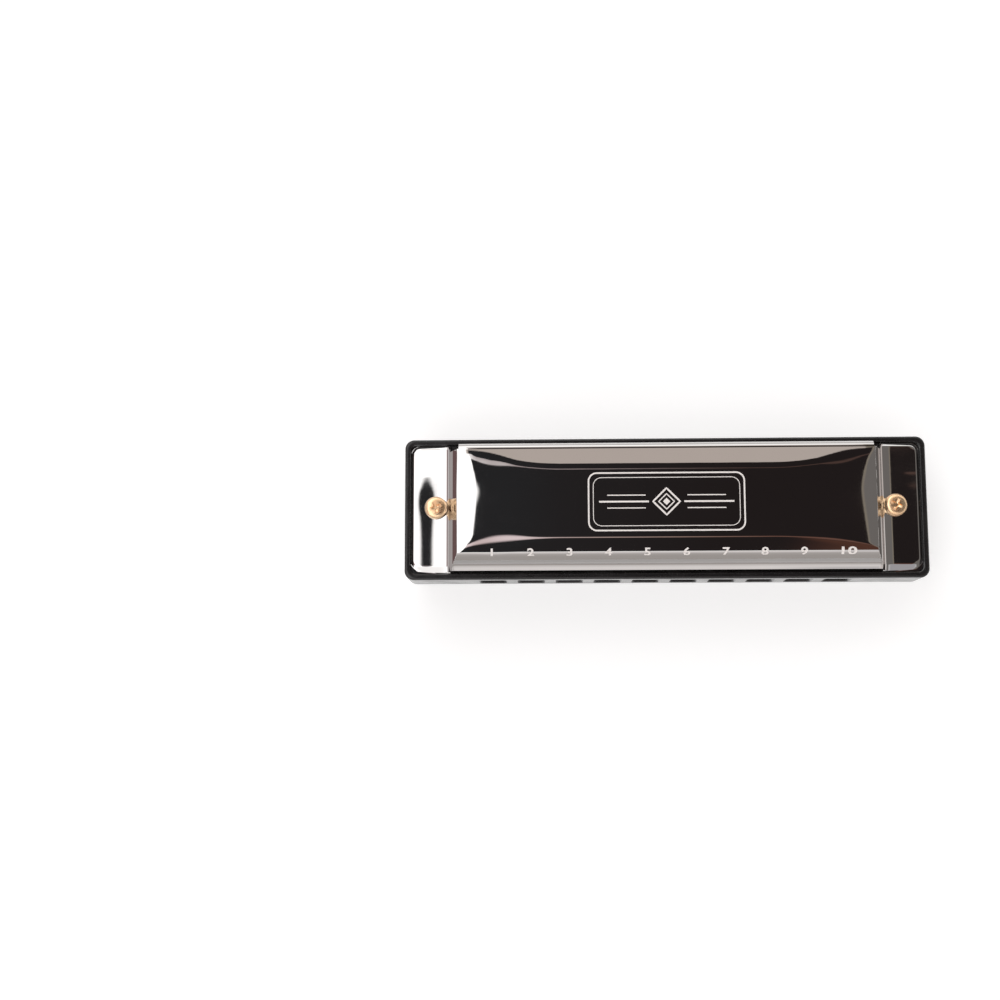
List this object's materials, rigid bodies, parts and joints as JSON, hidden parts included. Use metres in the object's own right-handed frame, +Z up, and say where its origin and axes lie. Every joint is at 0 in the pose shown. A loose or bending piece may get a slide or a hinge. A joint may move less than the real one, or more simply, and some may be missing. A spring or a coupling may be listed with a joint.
{
  "type": "harmonica",
  "caption": "Diatonic harmonica: black plastic comb with square mouth holes, riveted brass reeds on two plates, polished steel covers, brass screws.",
  "frame": {"origin": "middle of the footprint, on the plane that the lower cover lies on", "axes": "+X along the row of holes towards hole 10, -Y the mouth side, +Z up through the upper cover"},
  "size_m": [0.102, 0.0278, 0.019],
  "materials": {
    "black_plastic": "glossy moulded",
    "polished_steel": "mirror polished",
    "plate_brass": "rolled, lightly brushed",
    "reed_brass": "profiled and scraped",
    "rivet_brass": "peened",
    "screw_brass": "bright",
    "zinc_steel": "zinc plated"
  },
  "bodies": {
    "root": {"comb": "black_plastic", "upper_reed_plate": "plate_brass", "lower_reed_plate": "plate_brass", "upper_cover": "polished_steel", "lower_cover": "polished_steel", "cover_screw_left": "screw_brass", "cover_screw_right": "screw_brass", "cover_nut_left": "screw_brass", "cover_nut_right": "screw_brass", "blow_rivet_01": "rivet_brass", "blow_rivet_02": "rivet_brass", "blow_rivet_03": "rivet_brass", "blow_rivet_04": "rivet_brass", "blow_rivet_05": "rivet_brass", "blow_rivet_06": "rivet_brass", "blow_rivet_07": "rivet_brass", "blow_rivet_08": "rivet_brass", "blow_rivet_09": "rivet_brass", "blow_rivet_10": "rivet_brass", "draw_rivet_01": "rivet_brass", "draw_rivet_02": "rivet_brass", "draw_rivet_03": "rivet_brass", "draw_rivet_04": "rivet_brass", "draw_rivet_05": "rivet_brass", "draw_rivet_06": "rivet_brass", "draw_rivet_07": "rivet_brass", "draw_rivet_08": "rivet_brass", "draw_rivet_09": "rivet_brass", "draw_rivet_10": "rivet_brass", "upper_plate_screw_01": "zinc_steel", "upper_plate_screw_02": "zinc_steel", "upper_plate_screw_03": "zinc_steel", "upper_plate_screw_04": "zinc_steel", "upper_plate_screw_05": "zinc_steel", "lower_plate_screw_01": "zinc_steel", "lower_plate_screw_02": "zinc_steel", "lower_plate_screw_03": "zinc_steel", "lower_plate_screw_04": "zinc_steel", "lower_plate_screw_05": "zinc_steel"},
    "blow_reed_01": {"blow_reed_01": "reed_brass"},
    "draw_reed_01": {"draw_reed_01": "reed_brass"},
    "blow_reed_02": {"blow_reed_02": "reed_brass"},
    "draw_reed_02": {"draw_reed_02": "reed_brass"},
    "blow_reed_03": {"blow_reed_03": "reed_brass"},
    "draw_reed_03": {"draw_reed_03": "reed_brass"},
    "blow_reed_04": {"blow_reed_04": "reed_brass"},
    "draw_reed_04": {"draw_reed_04": "reed_brass"},
    "blow_reed_05": {"blow_reed_05": "reed_brass"},
    "draw_reed_05": {"draw_reed_05": "reed_brass"},
    "blow_reed_06": {"blow_reed_06": "reed_brass"},
    "draw_reed_06": {"draw_reed_06": "reed_brass"},
    "blow_reed_07": {"blow_reed_07": "reed_brass"},
    "draw_reed_07": {"draw_reed_07": "reed_brass"},
    "blow_reed_08": {"blow_reed_08": "reed_brass"},
    "draw_reed_08": {"draw_reed_08": "reed_brass"},
    "blow_reed_09": {"blow_reed_09": "reed_brass"},
    "draw_reed_09": {"draw_reed_09": "reed_brass"},
    "blow_reed_10": {"blow_reed_10": "reed_brass"},
    "draw_reed_10": {"draw_reed_10": "reed_brass"}
  },
  "joints": [
    {"name": "blow_01_flex", "type": "hinge", "parent": "root", "child": "blow_reed_01", "pos_m": [-0.03375, 0.0058, 0.01215], "axis": [1, 0, 0], "range_deg": [-3, 3], "stiffness_Nm_per_rad": 0.006},
    {"name": "draw_01_flex", "type": "hinge", "parent": "root", "child": "draw_reed_01", "pos_m": [-0.03375, -0.0094, 0.00545], "axis": [1, 0, 0], "range_deg": [-3, 3], "stiffness_Nm_per_rad": 0.006},
    {"name": "blow_02_flex", "type": "hinge", "parent": "root", "child": "blow_reed_02", "pos_m": [-0.02625, 0.00518, 0.01215], "axis": [1, 0, 0], "range_deg": [-3, 3], "stiffness_Nm_per_rad": 0.006},
    {"name": "draw_02_flex", "type": "hinge", "parent": "root", "child": "draw_reed_02", "pos_m": [-0.02625, -0.0094, 0.00545], "axis": [1, 0, 0], "range_deg": [-3, 3], "stiffness_Nm_per_rad": 0.006},
    {"name": "blow_03_flex", "type": "hinge", "parent": "root", "child": "blow_reed_03", "pos_m": [-0.01875, 0.00456, 0.01215], "axis": [1, 0, 0], "range_deg": [-3, 3], "stiffness_Nm_per_rad": 0.006},
    {"name": "draw_03_flex", "type": "hinge", "parent": "root", "child": "draw_reed_03", "pos_m": [-0.01875, -0.0094, 0.00545], "axis": [1, 0, 0], "range_deg": [-3, 3], "stiffness_Nm_per_rad": 0.006},
    {"name": "blow_04_flex", "type": "hinge", "parent": "root", "child": "blow_reed_04", "pos_m": [-0.01125, 0.00394, 0.01215], "axis": [1, 0, 0], "range_deg": [-3, 3], "stiffness_Nm_per_rad": 0.006},
    {"name": "draw_04_flex", "type": "hinge", "parent": "root", "child": "draw_reed_04", "pos_m": [-0.01125, -0.0094, 0.00545], "axis": [1, 0, 0], "range_deg": [-3, 3], "stiffness_Nm_per_rad": 0.006},
    {"name": "blow_05_flex", "type": "hinge", "parent": "root", "child": "blow_reed_05", "pos_m": [-0.00375, 0.00332, 0.01215], "axis": [1, 0, 0], "range_deg": [-3, 3], "stiffness_Nm_per_rad": 0.006},
    {"name": "draw_05_flex", "type": "hinge", "parent": "root", "child": "draw_reed_05", "pos_m": [-0.00375, -0.0094, 0.00545], "axis": [1, 0, 0], "range_deg": [-3, 3], "stiffness_Nm_per_rad": 0.006},
    {"name": "blow_06_flex", "type": "hinge", "parent": "root", "child": "blow_reed_06", "pos_m": [0.00375, 0.0027, 0.01215], "axis": [1, 0, 0], "range_deg": [-3, 3], "stiffness_Nm_per_rad": 0.006},
    {"name": "draw_06_flex", "type": "hinge", "parent": "root", "child": "draw_reed_06", "pos_m": [0.00375, -0.0094, 0.00545], "axis": [1, 0, 0], "range_deg": [-3, 3], "stiffness_Nm_per_rad": 0.006},
    {"name": "blow_07_flex", "type": "hinge", "parent": "root", "child": "blow_reed_07", "pos_m": [0.01125, 0.00208, 0.01215], "axis": [1, 0, 0], "range_deg": [-3, 3], "stiffness_Nm_per_rad": 0.006},
    {"name": "draw_07_flex", "type": "hinge", "parent": "root", "child": "draw_reed_07", "pos_m": [0.01125, -0.0094, 0.00545], "axis": [1, 0, 0], "range_deg": [-3, 3], "stiffness_Nm_per_rad": 0.006},
    {"name": "blow_08_flex", "type": "hinge", "parent": "root", "child": "blow_reed_08", "pos_m": [0.01875, 0.00146, 0.01215], "axis": [1, 0, 0], "range_deg": [-3, 3], "stiffness_Nm_per_rad": 0.006},
    {"name": "draw_08_flex", "type": "hinge", "parent": "root", "child": "draw_reed_08", "pos_m": [0.01875, -0.0094, 0.00545], "axis": [1, 0, 0], "range_deg": [-3, 3], "stiffness_Nm_per_rad": 0.006},
    {"name": "blow_09_flex", "type": "hinge", "parent": "root", "child": "blow_reed_09", "pos_m": [0.02625, 0.00084, 0.01215], "axis": [1, 0, 0], "range_deg": [-3, 3], "stiffness_Nm_per_rad": 0.006},
    {"name": "draw_09_flex", "type": "hinge", "parent": "root", "child": "draw_reed_09", "pos_m": [0.02625, -0.0094, 0.00545], "axis": [1, 0, 0], "range_deg": [-3, 3], "stiffness_Nm_per_rad": 0.006},
    {"name": "blow_10_flex", "type": "hinge", "parent": "root", "child": "blow_reed_10", "pos_m": [0.03375, 0.00022, 0.01215], "axis": [1, 0, 0], "range_deg": [-3, 3], "stiffness_Nm_per_rad": 0.006},
    {"name": "draw_10_flex", "type": "hinge", "parent": "root", "child": "draw_reed_10", "pos_m": [0.03375, -0.0094, 0.00545], "axis": [1, 0, 0], "range_deg": [-3, 3], "stiffness_Nm_per_rad": 0.006}
  ]
}
